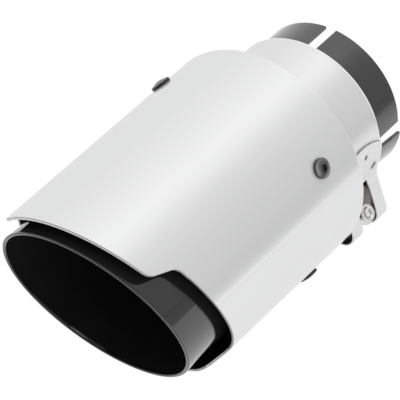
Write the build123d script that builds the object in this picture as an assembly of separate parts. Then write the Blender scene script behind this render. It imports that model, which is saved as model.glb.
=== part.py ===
"""Double-walled slash-cut exhaust tip with a slotted inlet and a single-bolt band clamp.

Frame: the tip's axis is Y, the mouth faces -Y and +Z is up. The origin is the centre of the
inlet's rear rim, so everything else lies at negative Y. Lengths are millimetres, angles degrees.
Angles round the axis start at the top, +Z, and grow towards +X.
"""
import os
from math import atan2, cos, degrees, hypot, radians, sin, sqrt, tan

from build123d import *

# Inlet pipe, slotted so that the clamp can close it on the car's pipe
inlet_bore = 65.4
inlet_wall = 1.5
inlet_lap = 2.0
inlet_edge = 0.4
slot_length = 34.0
slot_width = 5.2
slot_turn = -1.3
side_slot_angle = 92.4

# Band clamp round the inlet: a strap with a loop at each end, on a split inner liner
strap_width = 27.0
strap_setback = 17.5
strap_thickness = 0.8
strap_gap = 0.05
fold_gap = 0.1
liner_thickness = 1.4
liner_split = 6.0
liner_margin = 1.0
clamp_angle = 138.0
pin_rise = 9.2
pin_spacing = 15.6
pin_radius = 4.6
pin_gap = 0.1
pin_recess = 1.5
ramp_lean = 20.0
ramp_bend = 12.0
corner_bend = 2.5
tail_reach = 59.6
tail_end_radius = 24.0
window_width = 12.5
window_reach = 19.0
window_end = 6.5
window_round = 3.5
leg_hole_gap = 0.7
spot_radius = 1.3
spot_depth = 0.35
spot_end_angle = 51.5
spot_end_offset = 1.4
spot_foot_angle = 39.5
spot_foot_offset = 8.0

# Clamp bolt, through the plain pin into the tapped pin
bolt_radius = 3.0
bolt_hole_gap = 0.3
thread_gap = 0.05
bolt_seat = 3.2
bolt_flange_radius = 4.8
bolt_flange_height = 1.2
bolt_head_radius = 3.9
bolt_head_height = 1.9
bolt_head_round = 0.7
bolt_socket = 5.0
bolt_socket_depth = 1.6
bolt_overhang = 5.0

# Reducer cone, slipped over the inlet and into the inner tip
weld_gap = 0.05
weld_leg = 1.0
cone_wall = 1.2
cone_clearance = 3.5
cone_rear_collar = 8.0
cone_length = 11.0
cone_front_collar = 11.0

# Outer sleeve, slash-cut in front with a step back on each side and a return flange behind
sleeve_radius = 49.0
sleeve_wall = 1.2
sleeve_clearance = 3.5
sleeve_bend = 0.4
sleeve_return = 5.5
sleeve_turn = -4.9
slash_angle = 25.1
slash_reach = 159.75
step_depth = 12.3
step_height = 34.1
step_lean = 3.5
step_round = 6.1
lower_step_height = 37.75
lower_step_lean = 6.45
lower_step_round = 4.3

# Inner tip, a tube whose slanted mouth is slightly flared and rolled to a thin round lip
tip_wall = 1.1
tip_overhang = 3.0
mouth_gap = 4.3
mouth_reach = 166.65
mouth_angle = 22.7
flare_height = 0.5
flare_length = 26.0
flare_sections = 3
lip_radius = 0.65

# Four low button-head screws through the sleeve into bosses on the inner tip
screw_offset = 6.0
screw_angle = 53.8
screw_turn = 4.6
screw_radius = 2.5
screw_hole_gap = 0.25
screw_end_gap = 0.6
screw_head_radius = 4.45
screw_head_height = 1.8
screw_head_flat = 2.1
screw_head_rim = 0.9
screw_dome_rise = 0.15
screw_socket = 3.0
screw_socket_depth = 1.1
boss_radius = 5.5

# Sizes that follow from the ones above
inlet_radius = inlet_bore / 2 + inlet_wall
liner_inner = inlet_radius + strap_gap
strap_inner = liner_inner + liner_thickness + strap_gap
band_line = strap_inner + strap_thickness / 2
tail_line = band_line + strap_thickness + fold_gap
strap_middle = strap_setback + strap_width / 2
strap_front = strap_setback + strap_width
loop_height = band_line + pin_rise
loop_line = pin_radius + pin_gap + strap_thickness / 2
cone_rear = strap_front + cone_clearance
cone_start = cone_rear + cone_rear_collar
cone_end = cone_start + cone_length
inlet_length = cone_start + inlet_lap
sleeve_rear = strap_front + sleeve_clearance
sleeve_inner = sleeve_radius - sleeve_wall
mouth_radius = sleeve_inner - mouth_gap
lip_line = mouth_radius - lip_radius
tip_radius = mouth_radius - flare_height
tip_inner = tip_radius - tip_wall
tip_rear = cone_end - tip_overhang
screw_setback = tip_rear + screw_offset
mouth_slope = tan(radians(mouth_angle))
slash_slope = tan(radians(slash_angle))
screw_places = {
    "upper_right": screw_turn + screw_angle,
    "lower_right": screw_turn + 180 - screw_angle,
    "lower_left": screw_turn + 180 + screw_angle,
    "upper_left": screw_turn - screw_angle,
}


def turned(outline):
    """A solid of revolution about Y, from an outline of (y, radius) points."""
    return revolve(make_face(Plane.YZ * Polyline(*outline, close=True)), Axis.Y)


def tube(radius, wall, rear, front):
    """A plain round tube on the axis, between two distances from the rear rim."""
    inner = radius - wall
    return turned([(-rear, inner), (-rear, radius), (-front, radius), (-front, inner)])


def at_angle(angle, solid):
    """A solid built at the top of the tip, turned about the axis to its own angle."""
    return Rot(0, angle, 0) * solid


def along_axis(outline, start, length):
    """An outline in X and Z, drawn out along the tip's axis towards the mouth."""
    plane = Plane((0, -start, 0), x_dir=(1, 0, 0), z_dir=(0, -1, 0))
    return extrude(plane * outline, length)


def hex_socket(across_flats, depth, top):
    """A hexagonal recess that opens upwards at the height top."""
    outline = RegularPolygon(across_flats / 2, 6, major_radius=False)
    return extrude(Plane.XY.offset(top - depth) * outline, 2 * depth)


def inlet_pipe():
    """A plain pipe with a broken rear edge and round-ended slots run in from it."""
    pipe = tube(inlet_radius, inlet_wall, 0, inlet_length)
    pipe = chamfer(pipe.edges().filter_by(GeomType.CIRCLE).group_by(Axis.Y)[-1], inlet_edge)
    straight = slot_length - slot_width / 2
    depth = 4 * inlet_wall
    run = Pos(0, -straight / 2, inlet_radius) * Box(slot_width, straight, depth)
    end = Pos(0, -straight, inlet_radius) * Cylinder(slot_width / 2, depth)
    for angle in (slot_turn, side_slot_angle, slot_turn + 180, -side_slot_angle):
        pipe -= at_angle(angle, run + end)
    return pipe


def ear_centres():
    """Bend centres of one end of the strap, as tangential and radial lengths from the axis.

    The end runs from the folded tail up the ramp, over the pin and down beside the gap to the band.
    """
    pin = (-pin_spacing / 2, loop_height)
    lean = radians(ramp_lean)
    out = (-cos(lean), sin(lean))
    down = (-sin(lean), -cos(lean))
    # The foot's bend touches the ramp on one side and rolls onto the folded tail on the other.
    away = loop_line + ramp_bend
    base = (pin[0] + away * out[0], pin[1] + away * out[1])
    along = base[0] * down[0] + base[1] * down[1]
    excess = base[0] ** 2 + base[1] ** 2 - (tail_line + ramp_bend) ** 2
    run = -along - sqrt(along ** 2 - excess)
    foot = (base[0] + run * down[0], base[1] + run * down[1])
    corner_across = pin[0] + loop_line - corner_bend
    corner = (corner_across, sqrt((band_line + corner_bend) ** 2 - corner_across ** 2))
    return pin, foot, corner


def arc(center, radius, start, end):
    """An arc about a centre, between two directions in degrees."""
    return CenterArc(center, radius, start, end - start)


def strap_end(shift):
    """One face of a strap end, shifted from the strap's middle line, outwards at the tail."""
    pin, foot, corner = ear_centres()
    crest_angle = 180 - ramp_lean
    foot_angle = degrees(atan2(foot[1], foot[0]))
    corner_angle = degrees(atan2(corner[1], corner[0]))
    tail = arc((0, 0), tail_line + shift, 90 + tail_reach, foot_angle)
    bend = arc(foot, ramp_bend - shift, foot_angle - 180, crest_angle - 180)
    loop = arc(pin, loop_line + shift, crest_angle, 0)
    turn = arc(corner, corner_bend + shift, 0, corner_angle - 180)
    ramp = Line(bend @ 1, loop @ 0)
    leg = Line(loop @ 1, turn @ 0)
    return [tail, bend, ramp, loop, leg, turn], corner_angle


def strap_outline():
    """The whole strap seen along the axis: the band with a looped end on each side of the gap."""
    edges = []
    tips = []
    for shift in (strap_thickness / 2, -strap_thickness / 2):
        end, corner_angle = strap_end(shift)
        edges += end + [mirror(edge, about=Plane.YZ) for edge in end]
        edges.append(arc((0, 0), band_line - shift, corner_angle, 540 - corner_angle))
        tips.append(end[0] @ 0)
    tail_edge = Line(*tips)
    return make_face(edges + [tail_edge, mirror(tail_edge, about=Plane.YZ)])


def window_cut():
    """The window in the ramp and crown of one loop, which the bolt's head sits in."""
    shape = RectangleRounded(window_reach - window_end, window_width, window_round)
    outline = Pos(-(window_reach + window_end) / 2, -strap_middle, 0) * shape
    kept = band_line + strap_thickness / 2 + fold_gap / 2
    return extrude(outline, loop_height + 2 * loop_line) - tube(kept, kept, strap_setback, strap_front)


def tail_corners():
    """The corners that the rounded end of one folded tail leaves off."""
    sag = tail_end_radius - sqrt(tail_end_radius ** 2 - (strap_width / 2) ** 2)
    depth = 4 * strap_thickness
    block = Pos(0, -strap_middle, tail_line) * Box(4 * sag, strap_width, depth)
    end = Pos(tail_end_radius, -strap_middle, tail_line) * Cylinder(tail_end_radius, depth)
    under = tail_line - strap_thickness / 2 - fold_gap / 2
    above = tail_line + strap_thickness
    layer = tube(above, above - under, strap_setback, strap_front)
    return at_angle(-tail_reach, block - end) & layer


def clamp_band():
    """One strap with both ends looped back, opened for the bolt and spot-welded at the tails."""
    strap = along_axis(strap_outline(), strap_setback, strap_width)
    for cut in (window_cut(), tail_corners()):
        strap -= cut
        strap -= mirror(cut, about=Plane.YZ)
    leg_hole = Cylinder(bolt_radius + leg_hole_gap, pin_spacing)
    strap -= Pos(0, -strap_middle, loop_height) * Rot(0, 90, 0) * leg_hole
    top = tail_line + strap_thickness / 2
    welds = [
        (spot_end_angle, spot_end_offset),
        (spot_foot_angle, spot_foot_offset),
        (spot_foot_angle, -spot_foot_offset),
    ]
    for angle, offset in welds:
        dimple = Pos(0, offset - strap_middle, top) * Cone(0, spot_radius, 2 * spot_depth)
        strap -= at_angle(angle, dimple)
        strap -= at_angle(-angle, dimple)
    return at_angle(clamp_angle, strap)


def clamp_liner():
    """A thin split ring under the strap, with its split opposite the loops."""
    rear = strap_setback + liner_margin
    front = strap_front - liner_margin
    ring = tube(liner_inner + liner_thickness, liner_thickness, rear, front)
    split_cut = Pos(0, -strap_middle, -liner_inner) * Box(liner_split, strap_width, 4 * liner_thickness)
    return at_angle(clamp_angle, ring - split_cut)


def clamp_pin(side, hole_radius):
    """A round cross pin in one loop, bored across for the bolt."""
    length = strap_width - 2 * pin_recess
    bar = along_axis(Circle(pin_radius), strap_setback + pin_recess, length)
    bore = Pos(0, -strap_middle, 0) * Rot(0, 90, 0) * Cylinder(hole_radius, 4 * pin_radius)
    return Pos(side * pin_spacing / 2, 0, loop_height) * (bar - bore)


def clamp_head_pin():
    """The plain pin, with a flat for the bolt's head."""
    pin = clamp_pin(-1, bolt_radius + bolt_hole_gap)
    seat = -pin_spacing / 2 - bolt_seat
    block = Box(2 * pin_radius, window_width, 4 * pin_radius)
    flat = Pos(seat - pin_radius, -strap_middle, loop_height) * block
    return at_angle(clamp_angle, pin - flat)


def clamp_nut_pin():
    """The tapped pin, which the bolt is screwed into."""
    return at_angle(clamp_angle, clamp_pin(1, bolt_radius + thread_gap))


def clamp_bolt():
    """A flanged cap-head bolt, its head on the plain pin's flat and its end past the tapped pin."""
    seat = -pin_spacing / 2 - bolt_seat - weld_gap
    end = pin_spacing / 2 + pin_radius + bolt_overhang
    crown = bolt_flange_height + bolt_head_height
    outline = Polyline(
        (0, seat - end),
        (bolt_radius, seat - end),
        (bolt_radius, 0),
        (bolt_flange_radius, 0),
        (bolt_flange_radius, bolt_flange_height / 2),
        (bolt_head_radius, bolt_flange_height),
        (bolt_head_radius, crown),
        (0, crown),
        close=True,
    )
    body = revolve(Plane.XZ * make_face(outline), Axis.Z)
    body = fillet(body.edges().filter_by(GeomType.CIRCLE).group_by(Axis.Z)[-1], bolt_head_round)
    body -= hex_socket(bolt_socket, bolt_socket_depth, crown)
    return at_angle(clamp_angle, Pos(seat, -strap_middle, loop_height) * Rot(0, -90, 0) * body)


def reducer_cone():
    """Two round collars with a cone between them, and a weld fillet behind the rear collar."""
    rear_inner = inlet_radius + weld_gap
    rear_outer = rear_inner + cone_wall
    front_outer = tip_inner - weld_gap
    front_inner = front_outer - cone_wall
    front_edge = cone_end + cone_front_collar
    return turned([
        (weld_leg - cone_rear, rear_inner),
        (-cone_rear, rear_inner + weld_leg),
        (-cone_rear, rear_outer),
        (-cone_start, rear_outer),
        (-cone_end, front_outer),
        (-front_edge, front_outer),
        (-front_edge, front_inner),
        (-cone_end, front_inner),
        (-cone_start, rear_inner),
    ])


def mouth_plane(distance_back):
    """The slanted plane of the mouth, moved back along the axis."""
    return Plane((0, distance_back - mouth_reach, 0), x_dir=(1, 0, 0), z_dir=(0, -1, -mouth_slope))


def flare(inset):
    """The flared front of the tip as a solid, shrunk by inset, from the mouth back to the plain tube."""
    spread = lip_line + tip_wall / 2 - tip_radius
    sections = []
    for index in range(flare_sections):
        share = index / (flare_sections - 1)
        radius = tip_radius + spread * (1 - share) ** 2 - inset
        sections.append(mouth_plane(share * flare_length) * Ellipse(radius, radius * hypot(1, mouth_slope)))
    return loft(sections)


def rolled_lip():
    """The round lip, as four tangent arcs that follow the mouth's slanted oval."""
    along = lip_line * hypot(1, mouth_slope)
    end_radius = lip_line - (along - lip_line) / 2
    end_centre = along - end_radius
    side_radius = (end_centre ** 2 + lip_line ** 2 - end_radius ** 2) / (2 * (lip_line - end_radius))
    side_centre = side_radius - lip_line
    meet = degrees(atan2(end_centre, side_centre))
    side = Torus(side_radius, lip_radius, major_angle=2 * meet, align=None)
    end = Torus(end_radius, lip_radius, major_angle=180 - 2 * meet, align=None)
    half = Pos(-side_centre, 0) * Rot(0, 0, -meet) * side + Pos(0, end_centre) * Rot(0, 0, meet) * end
    return mouth_plane(0) * (half + Rot(0, 0, 180) * half)


def inner_tip():
    """Plain tube, flared mouth and rolled lip, as one formed piece."""
    blank = tube(tip_radius, tip_wall, tip_rear, mouth_reach + tip_radius)
    plain = split(blank, bisect_by=mouth_plane(flare_length), keep=Keep.BOTTOM)
    return plain + (flare(0) - flare(tip_wall)) + rolled_lip()


def front_cut():
    """Everything ahead of the sleeve's front edge, drawn from the side and extruded across."""
    top = sleeve_radius + step_depth
    ahead = slash_reach + slash_slope * top + step_depth

    def edge_point(height, back):
        return (back - slash_reach - slash_slope * height, height)

    steps = [
        edge_point(step_height, 0),
        edge_point(step_height - step_lean, step_depth),
        edge_point(lower_step_lean - lower_step_height, step_depth),
        edge_point(-lower_step_height, 0),
    ]
    ends = [edge_point(-top, 0), (-ahead, -top), (-ahead, top), edge_point(top, 0)]
    face = make_face(Polyline(*steps, *ends, close=True))
    rounds = [step_round, step_round, lower_step_round, lower_step_round]
    for point, radius in zip(steps, rounds):
        face = fillet(face.vertices().sort_by_distance(point)[0], radius)
    return extrude(Plane.YZ * face, 2 * sleeve_radius, both=True)


def outer_sleeve():
    """Rolled sleeve: a return flange behind, the slash cut and its side steps in front."""
    rear = -sleeve_rear
    front = -(slash_reach + slash_slope * sleeve_radius + step_depth)
    flange = sleeve_radius - sleeve_return
    outside = (rear, sleeve_radius)
    inside = (rear - sleeve_wall, sleeve_inner)
    section = make_face(Polyline(
        (rear, flange),
        outside,
        (front, sleeve_radius),
        (front, sleeve_inner),
        inside,
        (rear - sleeve_wall, flange),
        close=True,
    ))
    section = fillet(section.vertices().sort_by_distance(outside)[0], sleeve_bend + sleeve_wall)
    section = fillet(section.vertices().sort_by_distance(inside)[0], sleeve_bend)
    sleeve = revolve(Plane.YZ * section, Axis.Y) - at_angle(sleeve_turn, front_cut())
    hole = Pos(0, -screw_setback, sleeve_radius) * Cylinder(screw_radius + screw_hole_gap, 4 * sleeve_wall)
    for angle in screw_places.values():
        sleeve -= at_angle(angle, hole)
    return sleeve


def sleeve_screw():
    """A button-head screw with a hexagonal socket, its head on the sleeve at the top of the tip."""
    rim = (screw_head_radius, screw_head_rim)
    crown = (screw_head_flat, screw_head_height)
    length = sleeve_radius + weld_gap - tip_radius - screw_end_gap
    dome = SagittaArc(rim, crown, -screw_dome_rise)
    shank = Polyline(
        crown,
        (0, screw_head_height),
        (0, -length),
        (screw_radius, -length),
        (screw_radius, 0),
        (screw_head_radius, 0),
        rim,
    )
    body = revolve(Plane.XZ * make_face([dome, shank]), Axis.Z)
    body -= hex_socket(screw_socket, screw_socket_depth, screw_head_height)
    return Pos(0, -screw_setback, sleeve_radius + weld_gap) * body


def sleeve_boss():
    """A tapped round boss that fills the space between the inner tip and the sleeve."""
    outer = sleeve_inner - weld_gap
    inner = tip_radius + weld_gap
    reach = 2 * boss_radius
    space = tube(outer, outer - inner, screw_setback - reach, screw_setback + reach)
    height = sleeve_radius - tip_inner
    middle = Pos(0, -screw_setback, (sleeve_radius + tip_inner) / 2)
    return (middle * Cylinder(boss_radius, height) & space) - middle * Cylinder(screw_radius + thread_gap, height)


os.makedirs("parts", exist_ok=True)
pieces = {
    "inlet_pipe": inlet_pipe(),
    "clamp_liner": clamp_liner(),
    "clamp_band": clamp_band(),
    "clamp_head_pin": clamp_head_pin(),
    "clamp_nut_pin": clamp_nut_pin(),
    "clamp_bolt": clamp_bolt(),
    "reducer_cone": reducer_cone(),
    "inner_tip": inner_tip(),
    "outer_sleeve": outer_sleeve(),
}
for place, angle in screw_places.items():
    pieces["sleeve_boss_" + place] = at_angle(angle, sleeve_boss())
    pieces["sleeve_screw_" + place] = at_angle(angle, sleeve_screw())
for name, piece in pieces.items():
    export_step(piece, "parts/" + name + ".step")
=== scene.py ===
"""Looks of a double-walled slash-cut exhaust tip with a band clamp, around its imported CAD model.

The tip's axis is Y, its mouth faces -Y and +Z is up. Sizes are millimetres until a piece is finished,
and metres in the studio. Angles round the axis are degrees from the top, growing towards +X.
"""
from math import asin, atan2, copysign, cos, degrees, hypot, pi, radians, sin, sqrt, tan

import bmesh
import bpy
from mathutils import Matrix, Vector


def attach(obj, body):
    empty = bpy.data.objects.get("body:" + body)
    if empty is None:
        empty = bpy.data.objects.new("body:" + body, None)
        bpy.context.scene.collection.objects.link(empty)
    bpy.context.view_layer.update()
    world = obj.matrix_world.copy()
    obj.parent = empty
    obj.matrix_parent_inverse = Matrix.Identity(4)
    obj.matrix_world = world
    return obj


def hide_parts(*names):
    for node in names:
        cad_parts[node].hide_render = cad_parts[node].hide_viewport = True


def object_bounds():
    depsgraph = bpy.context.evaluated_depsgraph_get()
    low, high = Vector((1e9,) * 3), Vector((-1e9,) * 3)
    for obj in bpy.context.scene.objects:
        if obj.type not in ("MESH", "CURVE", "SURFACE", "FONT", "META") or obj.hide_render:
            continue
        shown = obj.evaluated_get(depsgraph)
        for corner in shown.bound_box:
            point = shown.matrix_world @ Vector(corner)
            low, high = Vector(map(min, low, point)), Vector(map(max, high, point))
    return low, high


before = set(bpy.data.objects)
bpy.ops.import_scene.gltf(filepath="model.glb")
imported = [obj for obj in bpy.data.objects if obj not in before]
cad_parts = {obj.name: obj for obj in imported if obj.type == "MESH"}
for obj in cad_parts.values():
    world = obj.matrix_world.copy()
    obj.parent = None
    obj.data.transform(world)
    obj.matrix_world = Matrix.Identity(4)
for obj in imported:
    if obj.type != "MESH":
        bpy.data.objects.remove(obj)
cad_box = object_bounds()


# Inlet pipe: the slotted pipe at the back that slips over the car's own pipe. Steel under a dark
# gloss coat. The clamp closes it, and its front end is welded into the cone.
class Wire:
    """One value in a finish's nodes. Arithmetic on it adds Math nodes."""

    def __init__(self, tree, socket):
        self.tree = tree
        self.socket = socket

    def node(self, kind, settings, inputs, output=0):
        """Adds a node, makes its settings, feeds its sockets and gives one of its outputs."""
        made = self.tree.nodes.new(kind)
        for name, value in settings.items():
            if name == "stops":
                ramp = made.color_ramp.elements
                ramp[0].position = value[0][0]
                ramp[1].position = value[-1][0]
                for position, _ in value[1:-1]:
                    ramp.new(position)
                for element, (_, shade) in zip(ramp, value):
                    element.color = (shade, shade, shade, 1)
            else:
                setattr(made, name, value)
        for name, value in inputs.items():
            if isinstance(value, Wire):
                self.tree.links.new(value.socket, made.inputs[name])
            else:
                made.inputs[name].default_value = value
        return Wire(self.tree, made.outputs[output])

    def maths(self, operation, first, second):
        """The result of one operation on two values."""
        return self.node("ShaderNodeMath", {"operation": operation}, {0: first, 1: second})

    def __add__(self, other):
        return self.maths("ADD", self, other)

    __radd__ = __add__

    def __sub__(self, other):
        return self.maths("SUBTRACT", self, other)

    def __rsub__(self, other):
        return self.maths("SUBTRACT", other, self)

    def __mul__(self, other):
        return self.maths("MULTIPLY", self, other)

    __rmul__ = __mul__

    def coordinate(self, axis):
        """One coordinate of a place or a direction."""
        return self.node("ShaderNodeSeparateXYZ", {}, {0: self}, axis)

    def distance(self, point):
        """How far a place is from a point."""
        return self.node("ShaderNodeVectorMath", {"operation": "DISTANCE"}, {0: self, 1: point}, "Value")

    def noise(self, scale, stretch=(1, 1, 1)):
        """Soft noise from 0 to 1 on the piece's own coordinates, with its grain drawn out by stretch."""
        place = self.node("ShaderNodeMapping", {}, {"Vector": self, "Scale": stretch})
        return self.node("ShaderNodeTexNoise", {}, {"Vector": place, "Scale": scale, "Detail": 3.0})

    def steps(self, *stops):
        """The value read through a ramp of (place, shade) stops."""
        return self.node("ShaderNodeValToRGB", {"stops": stops}, {"Fac": self})

    def tint(self, first, second):
        """A colour that goes from first to second as the value goes from 0 to 1."""
        return self.node("ShaderNodeMix", {"data_type": "RGBA"}, {0: self, 6: first, 7: second}, 2)

    def relief(self, strength, depth):
        """A normal that follows the value as fine relief, its depth in metres."""
        return self.node("ShaderNodeBump", {}, {"Height": self, "Strength": strength, "Distance": depth})


def finish(name, constants):
    """A new material with constant sockets set, what feeds its other sockets, and its coordinates."""
    material = bpy.data.materials.new(name)
    material.use_nodes = True
    tree = material.node_tree
    shader = tree.nodes["Principled BSDF"]
    for socket, value in constants.items():
        shader.inputs[socket].default_value = value
    coordinates = tree.nodes.new("ShaderNodeTexCoord")

    def feed(**wires):
        for socket, wire in wires.items():
            tree.links.new(wire.socket, shader.inputs[socket.replace("_", " ")])

    return material, feed, Wire(tree, coordinates.outputs["Object"])


seam_gap = 0.002
crease_angle = 35
to_metres = 0.001


def spun(outline, turns):
    """A wall turned about Y from a closed outline of (y, radius) points, in spins of (degrees, steps)."""
    mesh = bmesh.new()
    points = [mesh.verts.new((0, y, radius)) for y, radius in outline]
    edges = [mesh.edges.new(pair) for pair in zip(points, points[1:] + points[:1])]
    last = points + edges
    for sweep, steps in turns:
        made = bmesh.ops.spin(
            mesh, geom=last, cent=(0, 0, 0), axis=(0, 1, 0), dvec=(0, 0, 0),
            angle=radians(sweep), steps=steps, use_merge=len(turns) == 1,
        )
        last = made["geom_last"]
    bmesh.ops.remove_doubles(mesh, verts=mesh.verts, dist=seam_gap)
    bmesh.ops.recalc_face_normals(mesh, faces=mesh.faces)
    return mesh


def quarter(middle, radius, start, rings):
    """A quarter turn of (y, radius) points about a middle, from a starting angle in degrees."""
    turns = [radians(start + 90 * ring / rings) for ring in range(rings + 1)]
    return [(middle[0] + radius * cos(turn), middle[1] + radius * sin(turn)) for turn in turns]


def turn_mesh(mesh, angle, axis="Y"):
    """Turns a mesh about an axis through the origin, by an angle in degrees."""
    turn = Matrix.Rotation(radians(angle), 3, axis)
    bmesh.ops.rotate(mesh, cent=(0, 0, 0), matrix=turn, verts=mesh.verts)


def angle_of(point):
    """The angle of a point round the axis."""
    return degrees(atan2(point.x, point.z))


def off_axis(point):
    """How far a point lies from the axis."""
    return hypot(point.x, point.z)


def radial(point):
    """The direction straight out from the axis to a point."""
    return Vector((point.x, 0, point.z)).normalized()


def finished(name, mesh, materials, unit=to_metres):
    """A piece from a bmesh drawn in a unit, smooth but for edges sharper than the crease angle."""
    bmesh.ops.scale(mesh, vec=(unit, unit, unit), verts=mesh.verts)
    data = bpy.data.meshes.new(name)
    mesh.to_mesh(data)
    mesh.free()
    data.shade_smooth()
    data.set_sharp_from_angle(angle=radians(crease_angle))
    for material in materials:
        data.materials.append(material)
    piece = bpy.data.objects.new(name, data)
    bpy.context.scene.collection.objects.link(piece)
    return piece


coat_shades = (0.012, 0.012, 0.013, 1), (0.02, 0.02, 0.021, 1)
dark_coat, feed, place = finish("dark_coat", {
    "Specular IOR Level": 0.42, "Coat Weight": 1.0, "Coat Roughness": 0.08, "Coat IOR": 1.45,
})
drag = place.noise(60, stretch=(1, 12, 1))
haze = place.noise(45)
feed(
    Base_Color=haze.tint(*coat_shades),
    Roughness=0.09 + 0.05 * drag + 0.04 * haze,
    Normal=place.noise(1500).relief(strength=0.04, depth=0.00005),
)
inlet_radius = 34.2
inlet_wall = 1.5
inlet_length = 58.0
inlet_edge = 0.4
edge_rings = 3
ring_edge = 0.4
slot_angles = [-1.3, 92.4, 178.7, 267.6]
slot_length = 34.0
slot_width = 5.2
slot_row = 29.0
slot_columns = 16
column_angle = 1.5
bent_tongue = 1
bend_out = 1.6
bend_length = 24.0
inlet_inner = inlet_radius - inlet_wall
half_slot = degrees(asin(slot_width / 2 / inlet_radius))
outer_line = [(-y, inlet_radius) for y in (inlet_length, slot_row, bend_length, inlet_edge + ring_edge)]
inner_line = [(y, inlet_inner) for y, _ in reversed(outer_line)]
rim = quarter((-inlet_edge, inlet_radius - inlet_edge), inlet_edge, 0, edge_rings)[::-1]
rim += quarter((-inlet_edge, inlet_inner + inlet_edge), inlet_edge, 270, edge_rings)[::-1]
inlet_turns = []
for slot, following in zip(slot_angles, slot_angles[1:] + slot_angles[:1]):
    tongue = (following - slot) % 360 - 2 * half_slot
    inlet_turns += [(2 * half_slot, slot_columns), (tongue, round(tongue / column_angle))]
inlet_mesh = spun(outer_line + rim + inner_line, inlet_turns)
turn_mesh(inlet_mesh, slot_angles[0] - half_slot)


def off_slot(point, slot):
    """How far a point lies round the axis from the middle of a slot, in degrees."""
    return (angle_of(point) - slot + 180) % 360 - 180


for slot in slot_angles:
    opened = []
    for face in inlet_mesh.faces:
        middle = face.calc_center_median()
        if abs(off_slot(middle, slot)) < half_slot and middle.y > -slot_row:
            opened.append(face)
    bmesh.ops.delete(inlet_mesh, geom=opened, context="FACES")
    ends = []
    for vert in inlet_mesh.verts:
        off = off_slot(vert.co, slot)
        if abs(vert.co.y + slot_row) < ring_edge and abs(off) < half_slot + column_angle / 2:
            across = inlet_radius * sin(radians(off))
            round_end = sqrt(max(0, (slot_width / 2) ** 2 - across ** 2))
            vert.co.y = slot_width / 2 - slot_length - round_end
            ends.append(vert)
    rows = [edge for edge in inlet_mesh.edges if edge.is_boundary and set(edge.verts) <= set(ends)]
    bmesh.ops.bridge_loops(inlet_mesh, edges=rows)
slot_sides = [edge for edge in inlet_mesh.edges if edge.is_boundary]
bmesh.ops.holes_fill(inlet_mesh, edges=slot_sides, sides=0)
for vert in inlet_mesh.verts:
    past_slot = off_slot(vert.co, slot_angles[bent_tongue])
    to_next = -off_slot(vert.co, slot_angles[bent_tongue + 1])
    if past_slot > 0 and to_next > 0 and vert.co.y > -bend_length:
        vert.co += radial(vert.co) * bend_out * (1 + vert.co.y / bend_length)
bmesh.ops.recalc_face_normals(inlet_mesh, faces=inlet_mesh.faces)
inlet = finished("inlet", inlet_mesh, [dark_coat])
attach(inlet, "root")
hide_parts("inlet_pipe")


# Reducer cone: the spun steel step from the inlet up to the wider tip, welded to both and coated
# with them. Only its rear collar shows, in the gap behind the sleeve.
cad_gap = 1e-7


def cad_piece(name, node, material):
    """A piece with the form of a CAD node, merged so that its shading follows its curves."""
    mesh = bmesh.new()
    mesh.from_mesh(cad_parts[node].data)
    bmesh.ops.remove_doubles(mesh, verts=mesh.verts, dist=cad_gap)
    return finished(name, mesh, [material], unit=1)


cone = cad_piece("cone", "reducer_cone", dark_coat)
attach(cone, "root")
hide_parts("reducer_cone")


# Clamp band and its liner: one bright steel strap over a split steel ring. The strap's ends are
# looped back round the pins, spot-welded at their tails and slotted for the bolt.
clamp_angle = 138.0
strap_setback = 17.5
strap_width = 27.0
strap_thickness = 0.8
strap_edge = 0.2
rim_angle = 50
band_line = 36.1
fold_gap = 0.1
roll_width = 1.1
roll_radius = 1.8
tail_reach = 59.6
tail_end_radius = 24.0
pin_across = 6.4
loop_height = 46.3
loop_line = 5.6
loop_taper = 1.5
taper_start = 40.0
taper_length = 8.0
ramp_lean = 20.4
ramp_bend = 12.0
corner_bend = 2.5
window_half = 6.25
window_reach = 19.0
window_round = 3.5
window_fade = 5.0
leg_hole = 3.7
leg_hole_end = 1.2
leg_hole_spread = 2.0
window_columns = 3
flat_columns = 4
roll_shares = (0.3, 0.6, 1.0)
tail_line = band_line + strap_thickness + fold_gap
tail_top = tail_line + strap_thickness / 2
band_top = band_line + strap_thickness / 2
half_width = strap_width / 2
flat_half = half_width - roll_width
strap_middle = -strap_setback - half_width


def ray(angle, length=1.0):
    """A step of a length, at an angle in degrees from straight across."""
    return Vector((length * cos(radians(angle)), 0, length * sin(radians(angle))))


axis = Vector((0, 0, 0))
still = Vector((0, 0, 0))
pin_centre = Vector((-pin_across, 0, loop_height))
ramp_top = pin_centre + ray(180 - ramp_lean, loop_line + ramp_bend)
downhill = ray(270 - ramp_lean)
slope_run = -ramp_top.dot(downhill)
slope_run -= sqrt(slope_run ** 2 - ramp_top.length_squared + (tail_line + ramp_bend) ** 2)
foot = ramp_top + slope_run * downhill
leg_corner = Vector((loop_line - corner_bend - pin_across, 0, 0))
leg_corner.z = sqrt((band_line + corner_bend) ** 2 - leg_corner.x ** 2)
foot_angle = degrees(atan2(foot.z, foot.x))
corner_angle = degrees(atan2(leg_corner.z, leg_corner.x))
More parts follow.
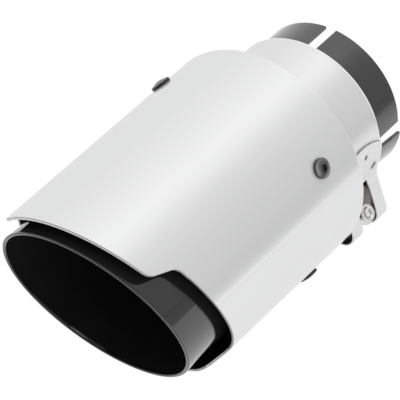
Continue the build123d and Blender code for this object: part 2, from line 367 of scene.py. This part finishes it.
# One end of the strap from its tail to its leg, as the centre, turn, slide and steps of each stretch.
strap_loop = [
    (axis, 90 + tail_reach - foot_angle, still, 24),
    (foot, foot_angle + ramp_lean - 180, still, 28),
    (axis, 0, -slope_run * downhill, 12),
    (pin_centre, 180 - ramp_lean, still, 32),
    (axis, 0, Vector((0, 0, leg_corner.z - loop_height)), 16),
    (leg_corner, 180 - corner_angle, still, 12),
]
round_inlet = (axis, 2 * corner_angle - 540, still, 200)
flip = Matrix.Diagonal((-1, 1, 1))
strap_path = strap_loop + [round_inlet]
for centre, turn, slide, steps in reversed(strap_loop):
    strap_path.append((flip @ centre, turn, flip @ -slide, steps))
columns = [window_half * step / window_columns for step in range(window_columns + 1)]
columns.append(window_half + ring_edge)
flat_step = (flat_half - columns[-1]) / flat_columns
columns += [columns[-1] + flat_step * step for step in range(1, flat_columns + 1)]
columns += [flat_half + roll_width * share for share in roll_shares]
sides = [-column for column in reversed(columns[1:])] + columns
band_mesh = bmesh.new()
tail_end = ray(90 + tail_reach, tail_top)
row = [band_mesh.verts.new(tail_end + Vector((0, strap_middle + side, 0))) for side in sides]
last = row + [band_mesh.edges.new(pair) for pair in zip(row, row[1:])]
for centre, turn, slide, steps in strap_path:
    made = bmesh.ops.spin(band_mesh, geom=last, cent=centre, axis=(0, 1, 0), dvec=slide / steps,
                          angle=radians(turn), steps=steps)
    last = made["geom_last"]
window = []
for face in band_mesh.faces:
    middle = face.calc_center_median()
    in_window = pin_across <= abs(middle.x) < window_reach and off_axis(middle) > band_top
    in_leg = abs(middle.x) < pin_across and middle.z > loop_height - leg_hole
    if abs(middle.y - strap_middle) < window_half and (in_window or in_leg):
        window.append(face)
bmesh.ops.delete(band_mesh, geom=window, context="FACES")


def open_half(point):
    """Half the width that a loop is open at a point: the bolt's slot in its leg, or its window."""
    rise = point.z - loop_height
    if abs(point.x) < pin_across and rise > 0:
        return min(window_half, leg_hole + rise)
    if abs(point.x) < pin_across and rise > -leg_hole:
        return max(leg_hole_end, sqrt(leg_hole ** 2 - rise ** 2))
    if abs(point.x) < pin_across:
        return min(window_half, leg_hole_end - leg_hole_spread * (rise + leg_hole))
    inward = window_reach - abs(point.x)
    if inward < -window_fade or inward > window_round:
        return window_half
    sag = window_round - sqrt(window_round ** 2 - (window_round - max(0, inward)) ** 2)
    return window_half - sag * min(1, 1 + inward / window_fade)


for vert in band_mesh.verts:
    side = vert.co.y - strap_middle
    height = off_axis(vert.co)
    if height < band_top:
        past_flat = max(0, abs(side) - flat_half)
        vert.co += radial(vert.co) * (roll_radius - sqrt(roll_radius ** 2 - past_flat ** 2))
        continue
    if abs(side) <= window_half:
        side *= open_half(vert.co) / window_half
    else:
        share = (half_width - abs(side)) / (half_width - window_half)
        side = copysign(half_width - share * (half_width - open_half(vert.co)), side)
    if side < 0:
        side += loop_taper * min(1, max(0, (height - taper_start) / taper_length))
    vert.co.y = strap_middle + side
    lean = angle_of(vert.co)
    share = (abs(lean) - foot_angle + 90) / (tail_reach - foot_angle + 90)
    if share > 0:
        sag = tail_end_radius - sqrt(tail_end_radius ** 2 - side ** 2)
        vert.co = Matrix.Rotation(-copysign(share * sag / tail_line, lean), 3, "Y") @ vert.co
bmesh.ops.recalc_face_normals(band_mesh, faces=band_mesh.faces)
if row[0].link_faces[0].normal.dot(tail_end) < 0:
    bmesh.ops.reverse_faces(band_mesh, faces=band_mesh.faces)
bmesh.ops.solidify(band_mesh, geom=list(band_mesh.faces), thickness=strap_thickness)
bmesh.ops.recalc_face_normals(band_mesh, faces=band_mesh.faces)
rims = []
for edge in band_mesh.edges:
    if edge.is_manifold and edge.calc_face_angle() > radians(rim_angle):
        rims.append(edge)
bmesh.ops.bevel(band_mesh, geom=rims, offset=strap_edge, offset_type="OFFSET", segments=2, profile=0.5,
                affect="EDGES", material=-1)

# The strap's tones, from its own steel up to the white of its painted edge highlight.
strap_shades = (0.7, 0.7, 0.705, 1), (0.97, 0.97, 0.975, 1)
weld_brown = (0.2, 0.18, 0.18, 1)
weld_places = [(51.5, 1.5, 2.0), (38.2, 8.3, 3.2), (38.2, -8.3, 3.2)]
to_millimetres = 1000
strap_steel, feed, place = finish("strap_steel", {"Metallic": 0.45})
rolled = place.noise(35, stretch=(1, 40, 1))
smudge = place.noise(55)
turned_to_place = Matrix.Rotation(radians(clamp_angle), 3, "Y")
marks = 0.0
for lean, offset, size in weld_places:
    for side in (-1, 1):
        spot = ray(90 + side * lean, tail_top) + Vector((0, strap_middle + offset, 0))
        away = place.distance(turned_to_place @ spot * to_metres) * (to_millimetres / size)
        marks = marks + (away + 0.5 * place.noise(500)).steps((0.7, 1.0), (1.0, 0.0))
# Painted highlight: the last 0.8 mm of the strap's rear edge is tinted near white, with a painted shade
# line just inside it where the roll starts; smudge adds random tone.
to_edge = place.coordinate("Y") * to_millimetres + (strap_setback + roll_width)
painted_edge_highlight = to_edge.steps((0.1, 0.0), (0.3, 1.0))
painted_edge_shade = (to_edge + 0.5).steps((0.2, 0.0), (0.4, 1.0), (0.6, 0.0))
edge_light_and_smudge = painted_edge_highlight - 0.4 * painted_edge_shade + 0.36 + 0.08 * smudge
feed(
    Base_Color=marks.tint(edge_light_and_smudge.tint(*strap_shades), weld_brown),
    Roughness=0.2 + 0.03 * rolled + 0.04 * smudge + 0.15 * marks,
    Normal=rolled.relief(strength=0.005, depth=0.00003),
)
# Painted shade: the insides of the loops, round the pins, get a near-black steel that stands in for the
# shade there.
loop_shade_tones = (0.03, 0.027, 0.025, 1), (0.22, 0.2, 0.185, 1)
loop_shade, feed, place = finish("loop_shade", {"Metallic": 0.6})
scale = place.noise(220)
streak = place.noise(90, stretch=(1, 8, 1))
feed(
    Base_Color=(0.5 * scale + 0.5 * streak).tint(*loop_shade_tones),
    Roughness=0.35 + 0.2 * scale,
    Normal=scale.relief(strength=0.2, depth=0.0001),
)
# The cut end of the strap's tail: a sheared steel face, painted dark for the shadow line under the tail's
# edge.
tail_end_shade_tones = (0.06, 0.06, 0.06, 1), (0.16, 0.16, 0.16, 1)
tail_end_shade, feed, place = finish("tail_end_shade", {"Metallic": 0.8})
shear_marks = place.noise(600, stretch=(1, 6, 1))
feed(
    Base_Color=shear_marks.tint(*tail_end_shade_tones),
    Roughness=0.4 + 0.2 * shear_marks,
    Normal=shear_marks.relief(strength=0.1, depth=0.00005),
)
strap_finishes = [strap_steel, loop_shade, tail_end_shade]
loop_inside_reach = 17.0
pin_facing = 0.35
cut_length = 15.0
cut_outward_limit = 0.25
cut_sideways_limit = 0.8
for face in band_mesh.faces:
    middle = face.calc_center_median()
    out_of_band = off_axis(middle) > band_top + strap_thickness / 4
    at_tail = out_of_band and abs(angle_of(middle)) > tail_reach - cut_length
    outward = abs(face.normal.dot(radial(middle)))
    # The tail's cut end takes the painted shade of its shadow line.
    if at_tail and outward < cut_outward_limit and abs(face.normal.y) < cut_sideways_limit:
        face.material_index = strap_finishes.index(tail_end_shade)
    # Faces inside a loop that face its pin take the painted loop shade.
    for pin_side in (pin_centre, flip @ pin_centre):
        to_pin = pin_side - Vector((middle.x, 0, middle.z))
        if to_pin.length < loop_inside_reach and face.normal.dot(to_pin.normalized()) > pin_facing:
            face.material_index = strap_finishes.index(loop_shade)
turn_mesh(band_mesh, clamp_angle)
band = finished("band", band_mesh, strap_finishes)
liner = cad_piece("liner", "clamp_liner", strap_steel)
for strap, node in ((band, "clamp_band"), (liner, "clamp_liner")):
    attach(strap, "root")
    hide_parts(node)


# Clamp pins: two cross pins of gray steel, one in each loop of the strap, with flattened crests and
# heels that fill the narrow ends of the loops. The bolt goes through one and screws into the other.
pin_radius = 4.7
pin_length = 23.0
pin_columns = 48
pin_crest = 0.6
heel_lean = 7.6
heel_foot = 34.6
pin_shades = (0.16, 0.15, 0.14, 1), (0.26, 0.245, 0.23, 1)
pin_steel, feed, place = finish("pin_steel", {"Metallic": 1.0})
turning = place.noise(120, stretch=(1, 10, 1))
feed(
    Base_Color=turning.tint(*pin_shades),
    Roughness=0.3 + 0.1 * turning,
    Normal=turning.relief(strength=0.05, depth=0.00005),
)
for node, side in (("clamp_head_pin", -1), ("clamp_nut_pin", 1)):
    pin_mesh = bmesh.new()
    bmesh.ops.create_cone(pin_mesh, cap_ends=True, segments=pin_columns, radius1=pin_radius,
                          radius2=pin_radius, depth=pin_length, matrix=Matrix.Rotation(radians(90), 4, "X"))
    for vert in pin_mesh.verts:
        if vert.co.z > 0:
            vert.co.z *= pin_crest
        else:
            drop = -vert.co.z / pin_radius
            vert.co.z = drop * (heel_foot - loop_height)
            vert.co.x += side * heel_lean * drop
    pin_place = (side * pin_across, strap_middle, loop_height)
    bmesh.ops.translate(pin_mesh, vec=pin_place, verts=pin_mesh.verts)
    turn_mesh(pin_mesh, clamp_angle)
    pin = finished(node.replace("clamp_", ""), pin_mesh, [pin_steel])
    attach(pin, "root")
    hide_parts(node)


# Clamp bolt: a flanged cap-head bolt of bright zinc-plated steel. Its head bears on the plain pin,
# and its shank crosses the gap between the loops to the tapped pin.
zinc_shades = (0.7, 0.69, 0.67, 1), (0.78, 0.775, 0.76, 1)
zinc, feed, place = finish("zinc", {"Metallic": 1.0})
cloud = place.noise(300)
feed(
    Base_Color=cloud.tint(*zinc_shades),
    Roughness=0.16 + 0.12 * cloud,
    Normal=place.noise(1800).relief(strength=0.06, depth=0.00004),
)
bolt = cad_piece("bolt", "clamp_bolt", zinc)
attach(bolt, "root")
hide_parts("clamp_bolt")


# Inner tip: a steel tube under a gloss black coat, its slanted mouth flared and rolled to a round
# lip. The cone is welded into its rear end.
tip_rear = 64.0
tip_radius = 43.0
tip_wall = 1.1
tip_columns = 192
mouth_reach = 166.5
mouth_angle = 22.7
flare_length = 26.0
flare_spread = 0.4
flare_rings = 10
lip_radius = 0.8
lip_reach = 0.7
lip_line = 42.75
lip_rings = 18
meet = degrees(atan2(sqrt(lip_radius ** 2 - (tip_wall / 2) ** 2), tip_wall / 2))
lip = []
for ring in range(lip_rings + 1):
    turn = radians(-meet + ring * (180 + 2 * meet) / lip_rings)
    lip.append((-mouth_reach - lip_reach * sin(turn), lip_line + lip_radius * cos(turn)))
flare = []
for ring in range(flare_rings):
    back = 1 - ring / flare_rings
    flare.append((flare_length * back - mouth_reach, tip_radius + flare_spread * (1 - back) ** 2))
wall_outside = [(-tip_rear, tip_radius), (-tip_rear - ring_edge, tip_radius)] + flare
wall_inside = [(y, radius - tip_wall) for y, radius in reversed(wall_outside)]
tip_mesh = spun(wall_outside + lip + wall_inside, [(360, tip_columns)])
for vert in tip_mesh.verts:
    if vert.co.y < -tip_rear - 2 * ring_edge:
        vert.co.y -= vert.co.z * tan(radians(mouth_angle))
tip_shades = (0.014, 0.014, 0.014, 1), (0.022, 0.022, 0.022, 1)
gloss_black, feed, place = finish("gloss_black", {
    "Specular IOR Level": 0.5, "Coat Weight": 0.45, "Coat Roughness": 0.03,
})
peel = place.noise(700)
dust = place.noise(90)
feed(
    Base_Color=dust.tint(*tip_shades),
    Roughness=0.03 + 0.05 * dust,
    Normal=peel.relief(strength=0.03, depth=0.00006),
)
tip = finished("tip", tip_mesh, [gloss_black])
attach(tip, "root")
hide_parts("inner_tip")


# Sleeve bosses: four tapped round steel blocks under the sleeve's screws, welded on the inner tip
# and coated dark. The sleeve hides them.
screw_places = ("upper_right", "lower_right", "lower_left", "upper_left")
for spot in screw_places:
    boss = cad_piece("boss_" + spot, "sleeve_boss_" + spot, dark_coat)
    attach(boss, "root")
    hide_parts("sleeve_boss_" + spot)


# Outer sleeve: rolled steel sheet, polished outside and black inside, with a painted highlight line and a
# fine ridge along its right side. Its front is cut at a slant with a step back on each side, and its rear
# edge is turned in as a flange.
sleeve_radius = 49.0
sleeve_wall = 1.2
sleeve_gap = 3.5
sleeve_return = 5.5
sleeve_bend = 0.4
sleeve_turn = -4.9
bend_rings = 5
edge_round = 0.3
cut_reach = 159.3
cut_angle = 25.1
step_depth = 12.3
step_height = 34.4
step_lean = 3.5
step_round = 6.1
low_step_height = 37.75
low_step_lean = 6.45
low_step_round = 4.3
round_rings = 12


def rounded(corners, radii, rings):
    """A line of (height, along) corners with an arc of its own radius at each inner corner."""
    line = [corners[0]]
    for before, corner, after, radius in zip(corners, corners[1:], corners[2:], radii):
        corner = Vector(corner)
        towards = (Vector(before) - corner).normalized()
        onwards = (Vector(after) - corner).normalized()
        half = towards.angle(onwards) / 2
        middle = corner + (towards + onwards).normalized() * radius / sin(half)
        start = (corner + towards * radius / tan(half) - middle).normalized()
        end = (corner + onwards * radius / tan(half) - middle).normalized()
        for ring in range(rings + 1):
            line.append(tuple(middle + radius * start.slerp(end, ring / rings)))
    return line + [corners[-1]]


def cut_at(height, back):
    """A point of the sleeve's front edge, as height and place along the axis."""
    return (height, back - cut_reach - height * tan(radians(cut_angle)))


front_line = rounded([
    cut_at(-2 * sleeve_radius, 0),
    cut_at(-low_step_height, 0),
    cut_at(low_step_lean - low_step_height, step_depth),
    cut_at(step_height - step_lean, step_depth),
    cut_at(step_height, 0),
    cut_at(2 * sleeve_radius, 0),
], [low_step_round, low_step_round, step_round, step_round], round_rings)


def front_edge(height):
    """Where the sleeve's front edge lies along the axis, at a height."""
    for (low, low_y), (high, high_y) in zip(front_line, front_line[1:]):
        if low <= height <= high:
            return low_y + (high_y - low_y) * (height - low) / (high - low)


# The front is drawn flat at this mark, in columns closest at the steps, and then moved to its edge.
front_mark = 120.0
half_turn = [(40, 22), (17, 75), (66, 36), (25, 80), (32, 16)]
sleeve_rear = strap_setback + strap_width + sleeve_gap
sleeve_inner = sleeve_radius - sleeve_wall
flange_inner = sleeve_radius - sleeve_return
outer_bend = sleeve_bend + sleeve_wall
bend_middle = (-sleeve_rear - outer_bend, sleeve_radius - outer_bend)
bend_end = -sleeve_rear - outer_bend - ring_edge
front_ring = ring_edge + edge_round - front_mark
round_middle = edge_round - front_mark
sleeve_outline = [(-sleeve_rear, flange_inner), (-sleeve_rear, flange_inner + ring_edge)]
sleeve_outline += quarter(bend_middle, outer_bend, 0, bend_rings)
sleeve_outline += [(bend_end, sleeve_radius), (front_ring, sleeve_radius)]
sleeve_outline += quarter((round_middle, sleeve_radius - edge_round), edge_round, 90, edge_rings)
sleeve_outline += quarter((round_middle, sleeve_inner + edge_round), edge_round, 180, edge_rings)
sleeve_outline += [(front_ring, sleeve_inner), (bend_end, sleeve_inner)]
sleeve_outline += quarter(bend_middle, sleeve_bend, 0, bend_rings)[::-1]
sleeve_outline += [(-sleeve_rear - sleeve_wall, flange_inner + ring_edge)]
sleeve_outline += [(-sleeve_rear - sleeve_wall, flange_inner)]
sleeve_mesh = spun(sleeve_outline, half_turn + half_turn[::-1])
for vert in sleeve_mesh.verts:
    if vert.co.y < front_ring + ring_edge:
        vert.co.y += front_mark + front_edge(vert.co.z * sleeve_radius / off_axis(vert.co))
turn_mesh(sleeve_mesh, sleeve_turn)

# The painted highlight line on the sleeve's right: its angle, its widths, its fade across the side and its
# fade from front to rear.
highlight_angle = 73.0
highlight_core = 0.1
highlight_half = 0.4
highlight_side_fade = 10.0
highlight_fade_start = 50.0
highlight_fade_length = 100.0
sleeve_shades = (0.8, 0.802, 0.81, 1), (0.82, 0.822, 0.828, 1)
highlight_white = (0.95, 0.95, 0.95, 1)
polished, feed, place = finish("polished", {
    "Metallic": 0.45, "Coat Weight": 0.6, "Coat Roughness": 0.03,
})
polish_lines = place.noise(30, stretch=(1, 60, 1))
smears = place.noise(18)
across, along, height = (place.coordinate(name) * to_millimetres for name in "XYZ")
# Painted highlight: a thin near-white line along the sleeve, on its right side only and fading towards the
# rear, also raised as a fine ridge.
off_highlight = across * cos(radians(highlight_angle)) - height * sin(radians(highlight_angle))
on_right = (across * (1 / highlight_side_fade)).steps((0.0, 0.0), (1.0, 1.0))
highlight_fade = (along * (-1 / highlight_fade_length) - highlight_fade_start / highlight_fade_length).steps((0.1, 0.35), (0.8, 1.0))
highlight_line = place.maths("ABSOLUTE", off_highlight, 0).steps((highlight_core, 1.0), (highlight_half, 0.0))
highlight_ridge = highlight_line * on_right * highlight_fade
feed(
    Base_Color=highlight_ridge.tint(smears.tint(*sleeve_shades), highlight_white),
    Roughness=0.2 + 0.03 * polish_lines + 0.04 * smears,
    Normal=(0.05 * polish_lines + highlight_ridge).relief(strength=0.1, depth=0.00002),
)
soot_shades = (0.012, 0.012, 0.012, 1), (0.022, 0.022, 0.022, 1)
inside_black, feed, place = finish("inside_black", {"Specular IOR Level": 0.4})
soot = place.noise(120)
feed(
    Base_Color=soot.tint(*soot_shades),
    Roughness=0.35 + 0.2 * soot,
    Normal=place.noise(1500).relief(strength=0.1, depth=0.00005),
)
# Painted shade: a dark gray steel on the rounded corner of the front edge and on the lower cut face,
# standing in for a line of shade along the edge.
edge_line_tones = (0.32, 0.32, 0.32, 1), (0.4, 0.4, 0.4, 1)
edge_line_shade, feed, place = finish("edge_line_shade", {"Metallic": 0.9})
edge_line_mottle = place.noise(500)
feed(
    Base_Color=edge_line_mottle.tint(*edge_line_tones),
    Roughness=0.25 + 0.1 * edge_line_mottle,
    Normal=edge_line_mottle.relief(strength=0.05, depth=0.00004),
)
sleeve_finishes = [polished, inside_black, edge_line_shade]
facing = 0.5
facing_fully = 0.9
corner_start = 0.15
corner_end = 0.99
for face in sleeve_mesh.faces:
    middle = face.calc_center_median()
    outward = face.normal.dot(radial(middle))
    forward = -face.normal.y
    behind_flange = forward > facing and middle.y > -sleeve_rear - 2 * sleeve_wall
    on_corner = forward > corner_start and corner_start < outward < corner_end
    low_cut = forward > facing_fully and middle.y < -front_mark and middle.z < step_height - step_round
    # The corner of the front edge and the lower cut face take the painted edge shade.
    if on_corner or low_cut:
        face.material_index = sleeve_finishes.index(edge_line_shade)
    elif outward < -facing or behind_flange:
        face.material_index = sleeve_finishes.index(inside_black)
sleeve = finished("sleeve", sleeve_mesh, sleeve_finishes)
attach(sleeve, "root")
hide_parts("outer_sleeve")


# Sleeve screws: four black button-head screws with hexagonal sockets, through the sleeve into
# the bosses. Their shoulders carry a painted highlight ring, brighter than their crowns, and rims and
# sockets are dull.
screw_setback = 70.6
screw_seat = 49.05
screw_angles = (57.7, 130.8, 238.4, -49.2)
screw_radius = 2.5
screw_length = 5.4
screw_columns = 48
head_radius = 4.3
shoulder_radius = 2.9
rim_height = 1.1
crown_height = 1.95
crown_power = 2
crown_rings = 10
socket_half = 1.5
socket_depth = 0.9
socket_slack = 0.015
flat_angle = 60
oxide_shades = (0.008, 0.008, 0.008, 1), (0.02, 0.019, 0.018, 1)
black_oxide, feed, place = finish("black_oxide", {"Specular IOR Level": 0.5})
grain = place.noise(400)
feed(
    Base_Color=grain.tint(*oxide_shades),
    Roughness=0.28 + 0.14 * grain,
    Normal=place.noise(2500).relief(strength=0.08, depth=0.00004),
)
screw_finishes = [black_oxide]
# The shoulders' lighter steel is a painted highlight ring; the crowns keep the darker steel.
for name, dark, light in (("shoulder_highlight", 0.19, 0.25), ("crown_steel", 0.11, 0.17)):
    head_steel, feed, place = finish(name, {"Metallic": 1.0})
    head_mottle = place.noise(300)
    feed(
        Base_Color=head_mottle.tint((dark, dark, dark, 1), (light, light, light, 1)),
        Roughness=0.1 + 0.06 * head_mottle,
        Normal=place.noise(1800).relief(strength=0.05, depth=0.00004),
    )
    screw_finishes.append(head_steel)
_, shoulder_highlight, crown_steel = screw_finishes
crown = []
for ring in range(crown_rings + 1):
    reach = head_radius + (socket_half - head_radius) * ring / crown_rings
    fall = (reach / head_radius) ** crown_power
    crown.append((crown_height + (rim_height - crown_height) * fall, reach))
socket_floor = crown_height - socket_depth
screw_outline = [(-screw_length, 0), (-screw_length, screw_radius), (0, screw_radius), (0, head_radius)]
screw_outline += crown + [(socket_floor, socket_half), (socket_floor, 0)]
for spot, angle in zip(screw_places, screw_angles):
    screw_mesh = spun(screw_outline, [(360, screw_columns)])
    bmesh.ops.dissolve_degenerate(screw_mesh, dist=seam_gap, edges=screw_mesh.edges)
    for vert in screw_mesh.verts:
        if vert.co.y > 0 and 0 < off_axis(vert.co) < socket_half + socket_slack:
            off_flat = (angle_of(vert.co) + flat_angle / 2) % flat_angle - flat_angle / 2
            vert.co.x /= cos(radians(off_flat))
            vert.co.z /= cos(radians(off_flat))
    for face in screw_mesh.faces:
        middle = face.calc_center_median()
        if middle.y > rim_height and face.normal.y > facing:
            head_steel = shoulder_highlight if off_axis(middle) > shoulder_radius else crown_steel
            face.material_index = screw_finishes.index(head_steel)
    turn_mesh(screw_mesh, 90, "X")
    bmesh.ops.translate(screw_mesh, vec=(0, -screw_setback, screw_seat), verts=screw_mesh.verts)
    turn_mesh(screw_mesh, angle)
    screw = finished("screw_" + spot, screw_mesh, screw_finishes)
    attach(screw, "root")
    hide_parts("sleeve_screw_" + spot)


# Studio: a white floor that glows as a light table, and a tent of soft light, brightest overhead and
# darkest on the right.
# The camera sees the floor plain white; in reflections its glow is brightest in a strip on the right and
# darker beyond it.
def share_of(wire):
    """A value from -1 to 1 as a share from 0 to 1."""
    return wire * 0.5 + 0.5


floor_drop = 0.0005
floor_size = 6.0
floor_white = 1.02
far_right_shade = 0.2
past_sheet_shade = 0.52
floor_mesh = bmesh.new()
bmesh.ops.create_grid(floor_mesh, x_segments=1, y_segments=1, size=floor_size)
bmesh.ops.translate(floor_mesh, vec=(0, 0, cad_box[0][2] - floor_drop), verts=floor_mesh.verts)
light_table, feed, place = finish("light_table", {
    "Base Color": (0, 0, 0, 1), "Specular IOR Level": 0.0, "Roughness": 1.0, "Emission Strength": 1.0,
})
sideways = share_of(place.coordinate("X"))
lengthways = share_of(place.coordinate("Y"))
sheet = sideways.steps(
    (0.0, 0.87), (0.3, 0.84), (0.41, 0.83), (0.5, 0.8), (0.522, 0.85), (0.535, 0.92), (0.56, 1.0),
    (0.6, 1.06), (1.0, 1.0),
)
past_sheet = sideways.steps((0.614, 0.0), (0.616, 1.0)) * lengthways.steps((0.46, 0.0), (0.49, 1.0))
far_right = sideways.steps((0.5, 0.0), (0.53, 1.0), (0.614, 1.0), (0.616, 0.0))
far_right = far_right * lengthways.steps((0.54, 0.0), (0.58, 1.0))
glow = sheet * (1.0 - far_right_shade * far_right) * (1.0 - past_sheet_shade * past_sheet)
seen = place.node("ShaderNodeLightPath", {}, {}, "Is Camera Ray")
feed(Emission_Color=glow + seen * (floor_white - glow))
floor = finished("floor", floor_mesh, [light_table], unit=1)

tent_white = 1.05
world = bpy.data.worlds.new("tent")
bpy.context.scene.world = world
world.use_nodes = True
tent = world.node_tree
background = tent.nodes["Background"]
background.inputs["Color"].default_value = (1, 1, 1, 1)
direction = Wire(tent, tent.nodes.new("ShaderNodeTexCoord").outputs["Generated"])
across, along, above = (direction.coordinate(name) for name in "XYZ")
round_axis = share_of(direction.maths("ARCTAN2", across, above) * (1 / pi))
lengthways = share_of(along)
cloth = round_axis.steps(
    (0.10, 0.86), (0.18, 0.83), (0.32, 0.92), (0.42, 1.1), (0.49, 1.31), (0.52, 1.26),
    (0.575, 0.86), (0.64, 0.69), (0.72, 0.59), (0.8, 0.52),
)
behind = lengthways.steps((0.6, 0.0), (0.72, 1.0))
front_fall = lengthways.steps((0.05, 0.3), (0.4, 1.0))
lit = (1.0 + behind * (cloth - 1.0)) * front_fall
seen = direction.node("ShaderNodeLightPath", {}, {}, "Is Camera Ray")
strength = lit + seen * (tent_white - lit)
tent.links.new(strength.socket, background.inputs["Strength"])


# Camera: a long lens at the photo's angle, in front of the tip, to its right and above it. It stands
# where the outlines of the round pieces fall as in the photo.
lens = 343.74
sensor_width = 36.0
azimuth = radians(34.336)
elevation = radians(40.039)
roll = radians(1.146)
distance = 1.5436
aim = Vector((0, -0.09534, 0.00595))
back = Vector((sin(azimuth) * cos(elevation), -cos(azimuth) * cos(elevation), sin(elevation)))
right = Vector((cos(azimuth), sin(azimuth), 0))
up = back.cross(right)
level = Matrix((right, up, back)).transposed()
turned = level @ Matrix.Rotation(roll, 3, "Z")
view = bpy.data.cameras.new("view")
view.lens = lens
view.sensor_width = sensor_width
camera = bpy.data.objects.new("view", view)
camera.matrix_world = Matrix.Translation(aim + back * distance) @ turned.to_4x4()
bpy.context.scene.collection.objects.link(camera)
bpy.context.scene.camera = camera
bpy.context.scene.view_settings.view_transform = "Standard"
